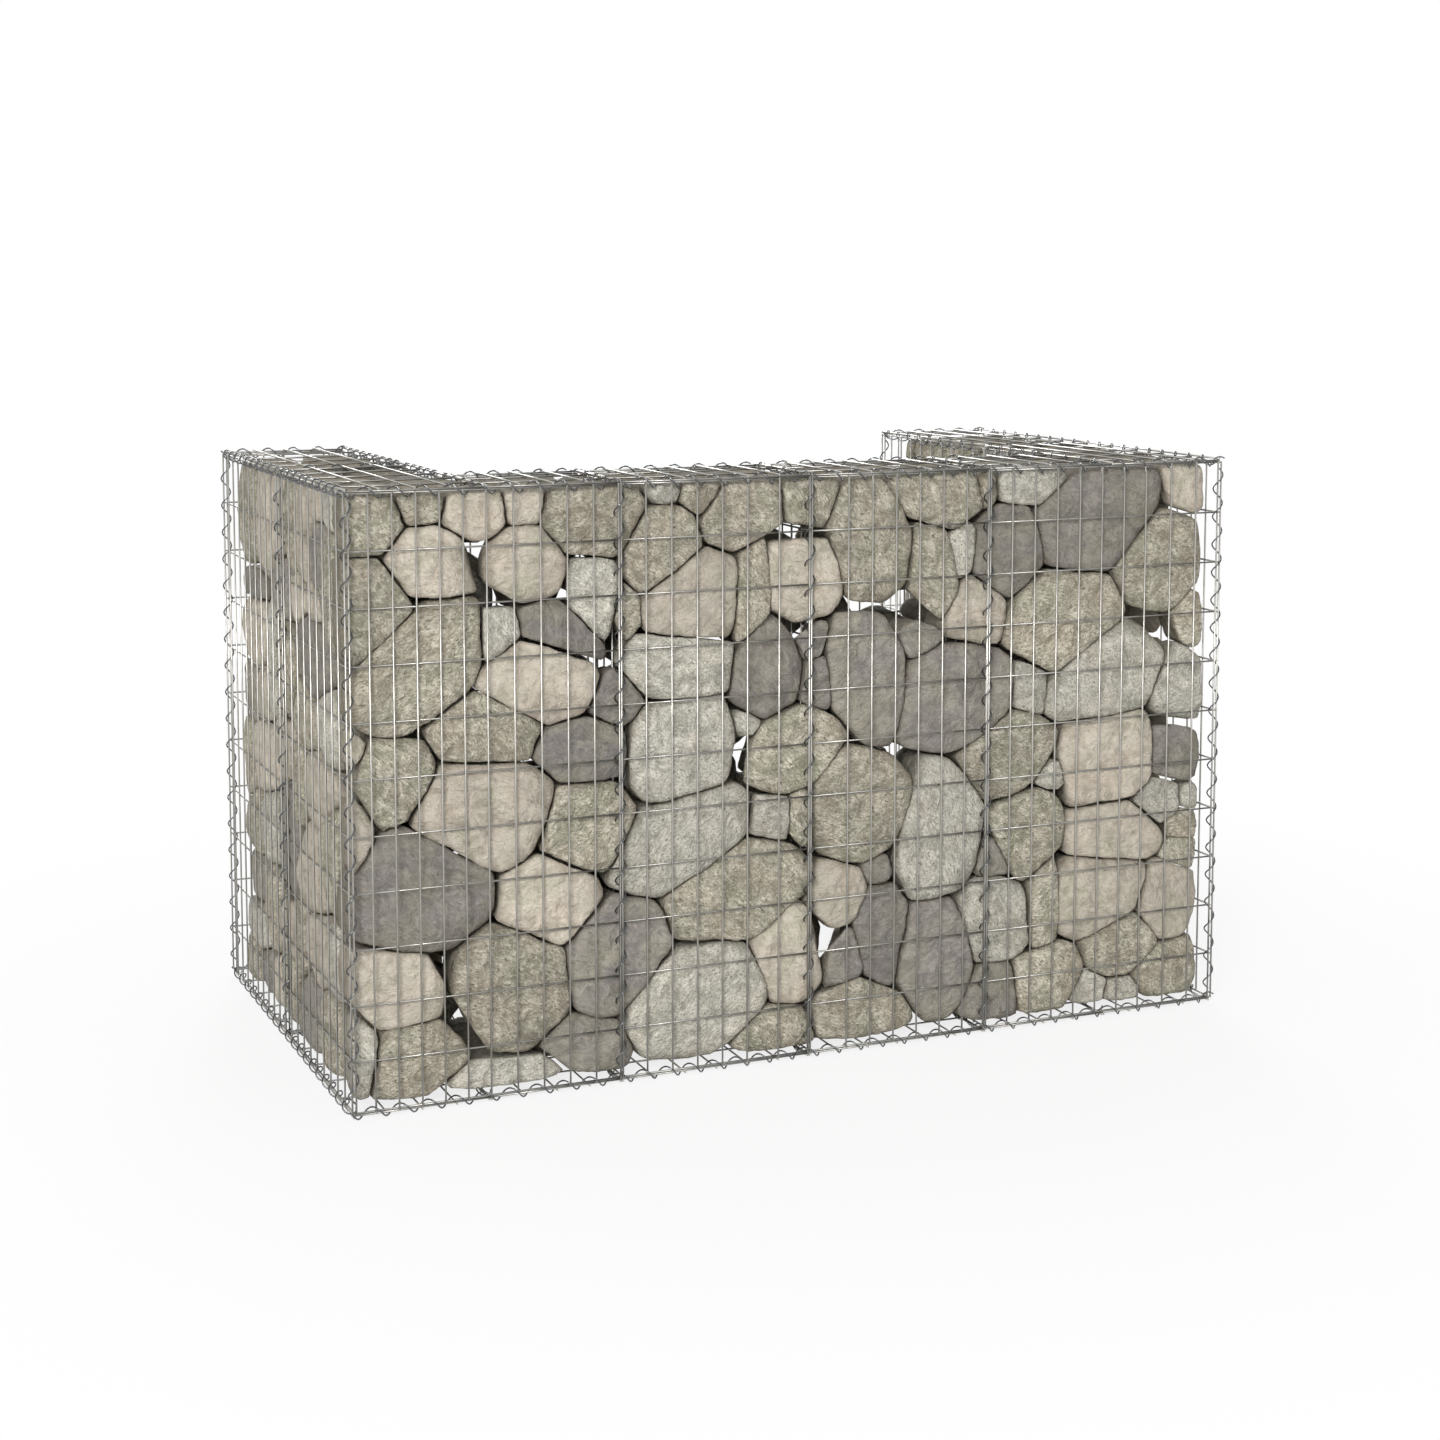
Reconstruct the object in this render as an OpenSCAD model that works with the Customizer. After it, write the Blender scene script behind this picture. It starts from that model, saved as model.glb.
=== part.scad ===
// Gabion screen wall: a long front wall with two short wings behind it, made of welded
// wire mesh baskets that are laced together with wire spirals and filled with stones.
// Millimetres. X runs along the front wall, the wings run towards +Y, and Z is up.
// The origin is the middle of the underside.

/* [Overall size] */
// Length of the front wall, over the lacing spirals
length = 1800; // [1400:5:2600]
// Depth from the front wall's face to the wings' ends, over the spirals
depth = 1000; // [750:5:1600]
// Height, over the spirals
height = 1115; // [600:5:1800]
// Thickness of every wall, from mesh to mesh
wall_t = 255; // [160:5:400]

/* [Bays] */
// Length of the left corner bay, along the front wall and along both wings
corner_bay = 505; // [440:5:600]
// Length of each of the two bays between the corner bays
middle_bay = 378; // [200:1:420]

/* [Mesh] */
// Thickness of the mesh wires
wire_d = 3.5; // [2.5:0.1:5]
// Distance between upright wires
cell_w = 50; // [40:1:80]
// Distance between level wires
cell_h = 100; // [50:1:150]
// Distance between the wires that run from front to back in the lids and bases
lid_cell_w = 64; // [50:1:100]
// How deep two crossing wires sink into each other at their weld
weld_sink = 0; // [0:0.1:0.6]
// Gap between two wires that lie side by side in a spiral
wire_gap = 0.3; // [0.2:0.1:0.6]
// Gap between the end wires of two neighbouring panels in one plane
panel_gap = 0.9; // [0.4:0.1:1.5]

/* [Spirals] */
// Outer diameter of a lacing spiral
spiral_d = 21.5; // [20:0.5:30]
// Thickness of the spiral's wire
spiral_wire = 3; // [2:0.1:4]
// Rise of one turn in the upright spirals
upright_turn = 57.5; // [40:0.5:80]
// Advance of one turn in the lids' and bases' spirals
edge_turn = 50; // [40:0.5:80]

/* [Stone fill] */
// Gap between the stones and the wires beside them
fill_gap = 1.2; // [0.5:0.1:5]
// Height that the stones stay below the lid's wires
fill_drop = 15; // [5:1:60]

/* [Hidden] */
front_bays = 4;
wing_bays = 2;

wire_r = wire_d / 2;
// Distance between the planes of a panel's upright and level wires
lay = wire_d - weld_sink;
// Distance from a panel's plane to the inner side of its level wires
depth_in = lay + wire_r;
// Distance from a corner to the first wire of the panel that is tucked in behind it
tuck = depth_in + wire_gap + wire_r;
// Distance from a joint to each end wire beside it
side = (wire_d + panel_gap) / 2;
// Distance between two level wires that lie on each other
stack = wire_d + wire_gap;

spiral_r = spiral_d / 2;
spiral_bore = spiral_r - spiral_wire;
spiral_seat = 0.1;
// Half width of the square path that stands for the round turns
spiral_path = spiral_r - spiral_wire / 2;

// The mesh box: from the first to the last wire, and from the lowest to the highest row
mesh_l = length - 2 * (spiral_r - lay);
mesh_dp = depth - 2 * (spiral_r - lay);
// Height of the lid's upper wires above the top row
lid_rise = stack + lay;
// Height of a lid spiral's axis above the top row: it hangs on the lid's wires
lid_axis = lid_rise + wire_r + spiral_seat - spiral_bore;
row_0 = spiral_r + lid_axis;
mesh_h = height - 2 * row_0;

joint_1 = corner_bay;
joint_2 = joint_1 + middle_bay;
joint_3 = joint_2 + middle_bay;
front_joints = [joint_1, joint_2, joint_3];

mesh_grey = [0.62, 0.64, 0.65];
spiral_grey = [0.52, 0.54, 0.56];
stone_grey = [0.60, 0.57, 0.51];

// ---- wire positions ----

// n equal cells from a to b, without the two ends
function even(a, b, n) = n < 2 ? [] : [for (i = [1 : n - 1]) a + (b - a) * i / n];

// Equal cells as near to the given pitch as they come
function near(a, b, pitch) = even(a, b, max(1, round((b - a) / pitch)));

// Regular cells from a, with the rest shared by some wider cells before b
function widened(a, b, pitch, wide) =
    let (n = max(1, floor((b - a - wide * pitch) / pitch + 0.001)), last = a + n * pitch)
    concat([for (i = [1 : n]) a + i * pitch], even(last, b, wide));

function flipped(list, a, b) = [for (i = [len(list) - 1 : -1 : 0]) a + b - list[i]];

// Level rows, counted down from the top, with the odd cell at the foot
rows = concat([0], [for (i = [max(1, round(mesh_h / cell_h)) - 1 : -1 : 0]) mesh_h - i * cell_h]);

thin_cells = 6;
across = even(0, wall_t, thin_cells);

function front_stations(bay) =
    bay == 1 ? concat([tuck], across, [wall_t], near(wall_t, joint_1, cell_w), [joint_1 - side]) :
    bay == 2 ? concat([joint_1 + side], widened(joint_1, joint_2, cell_w, 2), [joint_2 - side]) :
    bay == 3 ? concat([joint_2 + side], flipped(widened(joint_2, joint_3, cell_w, 1), joint_2, joint_3),
                      [joint_3 - side]) :
    concat([joint_3 + side], widened(joint_3, mesh_l, cell_w, 3), [mesh_l - tuck]);

function side_stations(bay) =
    bay == 1 ? concat([0], near(0, corner_bay, cell_w), [corner_bay - side]) :
    concat([corner_bay + side], near(corner_bay, mesh_dp, cell_w), [mesh_dp]);

function inner_stations(bay) =
    bay == 1 ? concat([wall_t + side], near(wall_t, joint_1, cell_w), [joint_1 - side]) :
    bay == 4 ? concat([joint_3 + side], near(joint_3, mesh_l - wall_t, cell_w), [mesh_l - wall_t - side]) :
    front_stations(bay);

function wing_stations(bay) =
    bay == 1 ? concat([wall_t + stack], near(wall_t, corner_bay, cell_w), [corner_bay - side]) :
    side_stations(2);

tucked = concat([tuck], across, [wall_t - tuck]);

function lid_u(bay) =
    bay == 1 ? concat([wall_t - lay + 2 * side], near(wall_t, joint_1, lid_cell_w), [joint_1 - side]) :
    bay == 2 ? concat([joint_1 + side], near(joint_1, joint_2, lid_cell_w), [joint_2 - side]) :
    bay == 3 ? concat([joint_2 + side], near(joint_2, joint_3, lid_cell_w), [joint_3 - side]) :
    concat([joint_3 + side], near(joint_3, mesh_l - wall_t, lid_cell_w), [mesh_l - wall_t + lay - 2 * side]);

lid_across = concat([lay], near(0, wall_t, lid_cell_w), [wall_t - lay]);
lid_v_front = concat([lay], near(0, wall_t, cell_h), [wall_t - lay]);

function lid_v_wing(bay) =
    bay == 1 ? concat([lay], near(0, corner_bay, cell_h), [corner_bay - side]) :
    concat([corner_bay + side], near(corner_bay, mesh_dp, cell_h), [mesh_dp - lay]);

// ---- pieces ----

function last(list) = list[len(list) - 1];

// A welded panel. Its uprights stand in the XZ plane, and its level wires lie behind them.
module mesh_panel(stations, levels) {
    lo = levels[0] - wire_r;
    hi = last(levels) + wire_r;
    start = stations[0] - wire_r;
    end = last(stations) + wire_r;
    for (s = stations)
        translate([s - wire_r, -wire_r, lo])
            cube([wire_d, wire_d, hi - lo]);
    for (z = levels)
        translate([start, lay - wire_r, z - wire_r])
            cube([end - start, wire_d, wire_d]);
}

// Moves a piece from the mesh box's lower front left corner to the model's own frame
module placed() {
    translate([-mesh_l / 2, -mesh_dp / 2, row_0])
        children();
}

// Swaps X and Y, so that a panel faces -X
module facing_left() {
    mirror([1, -1, 0])
        children();
}

// A panel that faces +Y, in the plane at y
module facing_back(y) {
    translate([0, y, 0])
        mirror([0, 1, 0])
            children();
}

// A panel that faces +X, in the plane at x
module facing_right(x) {
    translate([x, 0, 0])
        mirror([1, 0, 0])
            facing_left()
                children();
}

// A panel that lies flat and faces up, at height z
module facing_up(z) {
    translate([0, 0, z])
        rotate([-90, 0, 0])
            children();
}

module facing_down(z) {
    translate([0, 0, z])
        mirror([0, 0, 1])
            rotate([-90, 0, 0])
                children();
}

module front_mesh(bay) {
    color(mesh_grey)
        placed()
            mesh_panel(front_stations(bay), rows);
}

module left_side_mesh(bay) {
    color(mesh_grey)
        placed()
            facing_left()
                mesh_panel(side_stations(bay), rows);
}

module right_side_mesh(bay) {
    color(mesh_grey)
        placed()
            facing_right(mesh_l)
                mesh_panel(side_stations(bay), rows);
}

module end_mesh(x) {
    color(mesh_grey)
        placed()
            translate([x, 0, 0])
                facing_back(mesh_dp)
                    mesh_panel(tucked, rows);
}

module inner_front_mesh(bay) {
    color(mesh_grey)
        placed()
            facing_back(wall_t)
                mesh_panel(inner_stations(bay), rows);
}

module left_inner_mesh(bay) {
    color(mesh_grey)
        placed()
            facing_right(wall_t)
                mesh_panel(wing_stations(bay), rows);
}

module right_inner_mesh(bay) {
    color(mesh_grey)
        placed()
            translate([mesh_l - wall_t, 0, 0])
                facing_left()
                    mesh_panel(wing_stations(bay), rows);
}

module front_divider(joint) {
    color(mesh_grey)
        placed()
            translate([front_joints[joint - 1], 0, 0])
                facing_left()
                    mesh_panel(tucked, rows);
}

module wing_divider(x) {
    color(mesh_grey)
        placed()
            translate([x, corner_bay, 0])
                mesh_panel(tucked, rows);
}

// The flat meshes of one bay: bays 1 and 6 are the wings, 2 and 5 the corners, 3 and 4 the middle
module flat_mesh(bay) {
    right = mesh_l - wall_t;
    if (bay == 1 || bay == 6)
        translate([bay == 1 ? 0 : right, 0, 0])
            mesh_panel(lid_across, lid_v_wing(2));
    if (bay == 2 || bay == 5) {
        translate([bay == 2 ? 0 : right, 0, 0])
            mesh_panel(lid_across, lid_v_wing(1));
        mesh_panel(lid_u(bay == 2 ? 1 : 4), lid_v_front);
    }
    if (bay == 3 || bay == 4)
        mesh_panel(lid_u(bay - 1), lid_v_front);
}

module lid_mesh(bay) {
    color(mesh_grey)
        placed()
            facing_up(mesh_h + lid_rise)
                flat_mesh(bay);
}

module base_mesh(bay) {
    color(mesh_grey)
        placed()
            facing_down(-lid_rise)
                flat_mesh(bay);
}

// ---- stone fill ----

fill_in = depth_in + fill_gap;
fill_foot = wire_gap - stack + wire_r;
fill_top = mesh_h - fill_drop;

// A block of stones from one corner to the opposite one in plan
module stones(x0, y0, x1, y1) {
    translate([x0, y0, fill_foot])
        cube([x1 - x0, y1 - y0, fill_top - fill_foot]);
}

// Where the stones start and stop beside a divider in the plane at p
function before(p) = p - wire_r - fill_gap;
function after(p) = p + depth_in + fill_gap;

module wing_fill(x) {
    stones(x + fill_in, after(corner_bay), x + wall_t - fill_in, mesh_dp - fill_in);
}

module corner_fill(x) {
    stones(x + fill_in, fill_in, x + wall_t - fill_in, before(corner_bay));
}

module front_fill(x0, x1) {
    stones(x0, fill_in, x1, wall_t - fill_in);
}

module stone_fill(bay) {
    right = mesh_l - wall_t;
    color(stone_grey)
        placed() {
            if (bay == 1) wing_fill(0);
            if (bay == 2) {
                corner_fill(0);
                front_fill(wall_t - fill_in + wire_gap, before(joint_1));
            }
            if (bay == 3) front_fill(after(joint_1), before(joint_2));
            if (bay == 4) front_fill(after(joint_2), before(joint_3));
            if (bay == 5) {
                corner_fill(right);
                front_fill(after(joint_3), right + fill_in - wire_gap);
            }
            if (bay == 6) wing_fill(right);
        }
}

// ---- lacing spirals ----

steps_per_turn = 4;
section_points = 3;
diagonal = sqrt(2);

// The three corners of the wire's section at one step of a spiral along Z
function spiral_ring(step, rise) =
    let (a = 45 + 360 * step / steps_per_turn, r = spiral_path * diagonal, k = spiral_wire / diagonal)
    [for (c = [[r + k, -spiral_wire / 2], [r + k, spiral_wire / 2], [r - k, 0]])
        [c[0] * cos(a), c[0] * sin(a), c[1] + spiral_wire / 2 + step * rise]];

// A spiral along Z from z = 0, with four steps to a turn
module spiral(run, turn) {
    turns = max(1, round(run / turn));
    steps = turns * steps_per_turn;
    rise = (run - spiral_wire) / steps;
    n = section_points;
    points = [for (s = [0 : steps]) each spiral_ring(s, rise)];
    walls = [for (s = [0 : steps - 1], c = [0 : n - 1])
        let (a = s * n + c, b = s * n + (c + 1) % n)
        each [[a, a + n, b + n], [a, b + n, b]]];
    polyhedron(points, concat([[0, 1, 2]], walls, [[steps * n + 2, steps * n + 1, steps * n]]));
}

// Ends of the upright spirals, clear of the lid's and base's spirals
upright_end = spiral_r - lid_axis + 2;

module upright_spiral(x, y) {
    translate([x, y, upright_end])
        spiral(mesh_h - 2 * upright_end, upright_turn);
}

module spiral_along_x(x0, x1, y, z) {
    translate([x0, y, z])
        rotate([0, 90, 0])
            spiral(x1 - x0, edge_turn);
}

module spiral_along_y(y0, y1, x, z) {
    translate([x, y0, z])
        rotate([-90, 0, 0])
            spiral(y1 - y0, edge_turn);
}

// Distance from a panel's plane to the axis of the spiral that laces it: its turns bear on the wires
seat_in = spiral_bore - wire_r - 0.5;

module corner_spirals() {
    middle = tuck / 2;
    inner = wall_t + seat_in - stack;
    color(spiral_grey)
        placed()
            for (x = [0, 1])
                translate([x * mesh_l, 0, 0])
                    mirror([x, 0, 0]) {
                        upright_spiral(middle, seat_in);
                        upright_spiral(middle, mesh_dp - seat_in);
                        upright_spiral(wall_t - middle, mesh_dp - seat_in);
                        upright_spiral(inner, inner);
                    }
}

module joint_spirals() {
    color(spiral_grey)
        placed() {
            for (x = front_joints, y = [seat_in, wall_t - seat_in])
                upright_spiral(x, y);
            for (x = [seat_in, wall_t - seat_in, mesh_l - wall_t + seat_in, mesh_l - seat_in])
                upright_spiral(x, corner_bay);
        }
}

// Gap between the ends of spirals that meet
spiral_clear = 2;

// The spirals of the lids or the bases, with their axes at height z
module edge_spirals(z) {
    past = spiral_r + spiral_clear;
    inner_edge = wall_t - lay;
    back_edge = mesh_dp - lay;
    xs = concat([0], front_joints, [mesh_l]);
    for (bay = [0 : 3]) {
        x0 = bay == 0 ? lay - spiral_r : xs[bay] + spiral_clear / 2;
        x1 = bay == 3 ? mesh_l - lay + spiral_r : xs[bay + 1] - spiral_clear / 2;
        spiral_along_x(x0, x1, lay, z);
    }
    for (bay = [0 : 3])
        spiral_along_x((bay == 0 ? inner_edge : xs[bay]) + past,
                       (bay == 3 ? mesh_l - inner_edge : xs[bay + 1]) - past,
                       inner_edge, z);
    for (x = front_joints)
        spiral_along_y(lay + past, inner_edge - past, x, z);
    for (x = [0, 1])
        translate([x * mesh_l, 0, 0])
            mirror([x, 0, 0]) {
                spiral_along_y(lay + past, corner_bay - spiral_clear / 2, lay, z);
                spiral_along_y(corner_bay + spiral_clear / 2, back_edge - past, lay, z);
                spiral_along_y(lay + past, inner_edge - past, inner_edge, z);
                spiral_along_y(inner_edge + past, corner_bay - past, inner_edge, z);
                spiral_along_y(corner_bay + past, back_edge - past, inner_edge, z);
                spiral_along_x(lay + past, inner_edge - past, corner_bay, z);
                spiral_along_x(lay - spiral_r, inner_edge + spiral_r, back_edge, z);
            }
}

module lid_spirals() {
    color(spiral_grey)
        placed()
            edge_spirals(mesh_h + lid_axis);
}

module base_spirals() {
    color(spiral_grey)
        placed()
            edge_spirals(-lid_axis);
}

for (bay = [1 : front_bays]) {
    front_mesh(bay);
    inner_front_mesh(bay);
}
for (bay = [1 : wing_bays]) {
    left_side_mesh(bay);
    right_side_mesh(bay);
    left_inner_mesh(bay);
    right_inner_mesh(bay);
}
end_mesh(0);  // left_end_mesh
end_mesh(mesh_l - wall_t);  // right_end_mesh
for (joint = [1 : 3])
    front_divider(joint);
wing_divider(0);  // left_wing_divider
wing_divider(mesh_l - wall_t);  // right_wing_divider
for (bay = [1 : 6]) {
    lid_mesh(bay);
    base_mesh(bay);
    stone_fill(bay);
}
corner_spirals();
joint_spirals();
lid_spirals();
base_spirals();
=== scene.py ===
"""Gabion screen wall: welded wire mesh baskets, laced with wire spirals and filled with stones."""

import math
import random

import bmesh
import bpy
import numpy as np
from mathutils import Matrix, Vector, noise


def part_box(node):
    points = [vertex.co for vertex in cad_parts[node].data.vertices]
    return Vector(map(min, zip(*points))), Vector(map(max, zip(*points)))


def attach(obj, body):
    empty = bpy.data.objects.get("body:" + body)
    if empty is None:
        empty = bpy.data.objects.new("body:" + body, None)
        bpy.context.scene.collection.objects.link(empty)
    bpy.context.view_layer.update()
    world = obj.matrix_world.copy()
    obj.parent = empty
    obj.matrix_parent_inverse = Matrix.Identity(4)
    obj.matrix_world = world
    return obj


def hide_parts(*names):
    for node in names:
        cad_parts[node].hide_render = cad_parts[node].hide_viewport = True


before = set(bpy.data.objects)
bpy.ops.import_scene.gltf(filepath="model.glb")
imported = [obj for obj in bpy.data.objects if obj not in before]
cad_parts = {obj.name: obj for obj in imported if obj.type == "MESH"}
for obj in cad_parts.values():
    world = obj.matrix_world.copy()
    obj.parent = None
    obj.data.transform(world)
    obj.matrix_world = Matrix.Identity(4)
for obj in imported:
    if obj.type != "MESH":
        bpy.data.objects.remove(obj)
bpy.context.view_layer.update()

MM = 0.001
X, Y, Z = Vector((1, 0, 0)), Vector((0, 1, 0)), Vector((0, 0, 1))

# ---- the basket's planes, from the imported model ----

WIRE_R = 1.75 * MM
LAY = 3.5 * MM                  # from a panel's uprights to its level wires
CELL_W = 50 * MM
CELL_H = 100 * MM
LID_CELL_W = 64 * MM
SPIRAL_R = 9.25 * MM            # from a spiral's axis to the middle of its wire
SPIRAL_WIRE_R = 1.5 * MM


def low(node):
    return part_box(node)[0]


def high(node):
    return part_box(node)[1]


LEFT = low("left_side_mesh_1").x + WIRE_R
RIGHT = high("right_side_mesh_1").x - WIRE_R
FRONT = low("front_mesh_1").y + WIRE_R
BACK = high("left_end_mesh").y - WIRE_R
FOOT = low("front_mesh_1").z + WIRE_R
TOP = high("front_mesh_1").z - WIRE_R
INNER = high("inner_front_mesh_2").y - WIRE_R
WALL = INNER - FRONT
JOINTS = [(high(f"front_mesh_{n}").x + low(f"front_mesh_{n + 1}").x) / 2 for n in (1, 2, 3)]
WING_JOINT = (high("left_side_mesh_1").y + low("left_side_mesh_2").y) / 2
LEFT_INNER = LEFT + WALL
RIGHT_INNER = RIGHT - WALL
TUCK = low("front_mesh_1").x + WIRE_R - LEFT    # from a side panel to the end wire of the panel beside it
SIDE = (low("front_mesh_2").x - high("front_mesh_1").x) / 2 + WIRE_R    # from a joint to a panel's end wire

# ---- meshes ----

ROD_SIDES = 8
SPIRAL_SIDES = 6
TURN_STEPS = 14                 # rings to one turn of a spiral
FIRST_TURN = 0.125              # where a spiral starts, as a share of a turn
BEAD_DULL = 0.5                 # a weld bead's zinc, from 0 for bright to 1 for dull
NO_WIRE_RUNS_THIS_WAY = (0.31, 0.52, 0.79)


def new_piece(name, verts, faces, materials, smooth):
    """A mesh object of the wall, which rides on its only body."""
    mesh = bpy.data.meshes.new(name)
    mesh.from_pydata(verts, [], faces)
    for material in materials:
        mesh.materials.append(material)
    mesh.polygons.foreach_set("use_smooth", smooth)
    mesh.update()
    piece = bpy.data.objects.new(name, mesh)
    bpy.context.scene.collection.objects.link(piece)
    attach(piece, "root")
    return piece


def set_attribute(mesh, name, kind, values):
    """Gives each point of a mesh a value or a vector, for its material to read."""
    key = "vector" if kind == "FLOAT_VECTOR" else "value"
    layer = mesh.attributes.new(name, kind, "POINT")
    layer.data.foreach_set(key, np.array(values, np.float32).ravel())


class Wirework:
    """Collects rods, weld beads and spirals into one mesh."""

    def __init__(self):
        self.verts, self.faces, self.smooth, self.dullness_and_shade = [], [], [], []

    def tube(self, rings):
        """A closed tube through rings of points, an array of ring, point and coordinate."""
        count, sides = rings.shape[:2]
        base = len(self.verts)
        self.verts.extend(map(tuple, rings.reshape(-1, 3)))
        for ring in range(count - 1):
            for k in range(sides):
                a = base + ring * sides + k
                b = base + ring * sides + (k + 1) % sides
                self.faces.append((a, b, b + sides, a + sides))
                self.smooth.append(True)
        last = base + (count - 1) * sides
        self.faces.append(tuple(base + k for k in reversed(range(sides))))
        self.faces.append(tuple(last + k for k in range(sides)))
        self.smooth += [False, False]

    def rod(self, start, end, darkened=0.0):
        """A straight wire, with how much painted shade darkens its zinc, from 0 to 1."""
        start, end = np.array(start), np.array(end)
        along = (end - start) / np.linalg.norm(end - start)
        across = np.cross(along, NO_WIRE_RUNS_THIS_WAY)
        across /= np.linalg.norm(across)
        up = np.cross(along, across)
        turn = np.arange(ROD_SIDES) * 2 * math.pi / ROD_SIDES
        ring = WIRE_R * (np.outer(np.cos(turn), across) + np.outer(np.sin(turn), up))
        self.tube(np.stack([start + ring, end + ring]))
        self.dullness_and_shade += [darkened] * (2 * ROD_SIDES)

    def bead(self, centre, radii):
        """The small swelling where two wires are welded."""
        base = len(self.verts)
        self.verts.extend(map(tuple, np.array(centre) + BEAD_POINTS * radii))
        self.faces.extend(tuple(base + k for k in face) for face in BEAD_FACES)
        self.smooth += [True] * len(BEAD_FACES)
        self.dullness_and_shade += [BEAD_DULL] * len(BEAD_POINTS)

    def spiral(self, start, axis, length, turn):
        """A lacing spiral of about the given rise to a turn, in whole turns."""
        axis = np.array(axis)
        first = np.array(Z if abs(axis[2]) < 0.5 else X)
        second = np.cross(axis, first)
        run = length - 2 * SPIRAL_WIRE_R
        turns = max(1, round(length / turn))
        count = turns * TURN_STEPS + 1
        angle = np.linspace(FIRST_TURN, turns + FIRST_TURN, count) * 2 * math.pi
        out = np.outer(np.cos(angle), first) + np.outer(np.sin(angle), second)
        ahead = np.outer(np.cos(angle), second) - np.outer(np.sin(angle), first)
        lead = run / (turns * 2 * math.pi)
        tangent = ahead * SPIRAL_R + axis * lead
        tangent /= np.linalg.norm(tangent, axis=1)[:, None]
        side = np.cross(tangent, out)
        rise = SPIRAL_WIRE_R + np.linspace(0, run, count)
        middle = np.array(start) + out * SPIRAL_R + np.outer(rise, axis)
        around = np.arange(SPIRAL_SIDES) * 2 * math.pi / SPIRAL_SIDES
        rings = middle[:, None] + SPIRAL_WIRE_R * (
            np.cos(around)[None, :, None] * out[:, None] + np.sin(around)[None, :, None] * side[:, None])
        self.tube(rings)

    def piece(self, name, nodes, material, slot):
        piece = new_piece(name, self.verts, self.faces, [material], self.smooth)
        if self.dullness_and_shade:
            set_attribute(piece.data, "wire_dullness_and_shade", "FLOAT", self.dullness_and_shade)
        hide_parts(*nodes)
        return piece


def sphere_points(level):
    """Points and triangles of a ball of radius 1."""
    shape = bmesh.new()
    bmesh.ops.create_icosphere(shape, subdivisions=level, radius=1)
    points = np.array([v.co for v in shape.verts])
    faces = [tuple(v.index for v in face.verts) for face in shape.faces]
    shape.free()
    return points, faces


BEAD_POINTS, BEAD_FACES = sphere_points(1)

# ---- materials ----


def linear(red, green, blue):
    """A colour written as it shows on a screen, from 0 to 255."""
    return tuple(((c / 255 + 0.055) / 1.055) ** 2.4 for c in (red, green, blue)) + (1,)


def add(tree, kind, inputs=None, **settings):
    """A node with its settings, and its inputs set to values or linked to sockets."""
    node = tree.nodes.new("ShaderNode" + kind)
    for key, value in settings.items():
        setattr(node, key, value)
    for key, value in (inputs or {}).items():
        if isinstance(value, bpy.types.NodeSocket):
            tree.links.new(value, node.inputs[key])
        else:
            node.inputs[key].default_value = value
    return node


def maths(tree, operation, a, b=0.0):
    return add(tree, "Math", {0: a, 1: b}, operation=operation).outputs[0]


def times(tree, a, b):
    return maths(tree, "MULTIPLY", a, b)


def blended(tree, amount, a, b):
    """Colour a turning into colour b by amount."""
    return add(tree, "Mix", {0: amount, 6: a, 7: b}, data_type="RGBA").outputs[2]


def vector_maths(tree, operation, *inputs, **named):
    """A vector calculation's node, with its inputs in order."""
    return add(tree, "VectorMath", {**dict(enumerate(inputs)), **named}, operation=operation)


def spread(tree, value, low_at, high_at, low_to=0.0, high_to=1.0):
    """Stretches a value to a new range, and holds it there."""
    return add(tree, "MapRange", {"Value": value, "From Min": low_at, "From Max": high_at,
                                  "To Min": low_to, "To Max": high_to}).outputs[0]


def new_group(name, inputs, outputs):
    group = bpy.data.node_groups.new(name, "ShaderNodeTree")
    for label, kind, value in inputs:
        socket = group.interface.new_socket(label, in_out="INPUT", socket_type="NodeSocket" + kind)
        if value is not None:
            socket.default_value = value
    for label, kind in outputs:
        group.interface.new_socket(label, in_out="OUTPUT", socket_type="NodeSocket" + kind)
    return group, group.nodes.new("NodeGroupInput").outputs, group.nodes.new("NodeGroupOutput").inputs


SHADES = ("Base", "Warm", "Cool", "Light", "Dark")
MARKS = ("Clouds", "Patches", "Streaks", "Strokes", "Specks", "Cracks")
FACET_SCALE = 21.0              # broken faces to a metre


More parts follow.
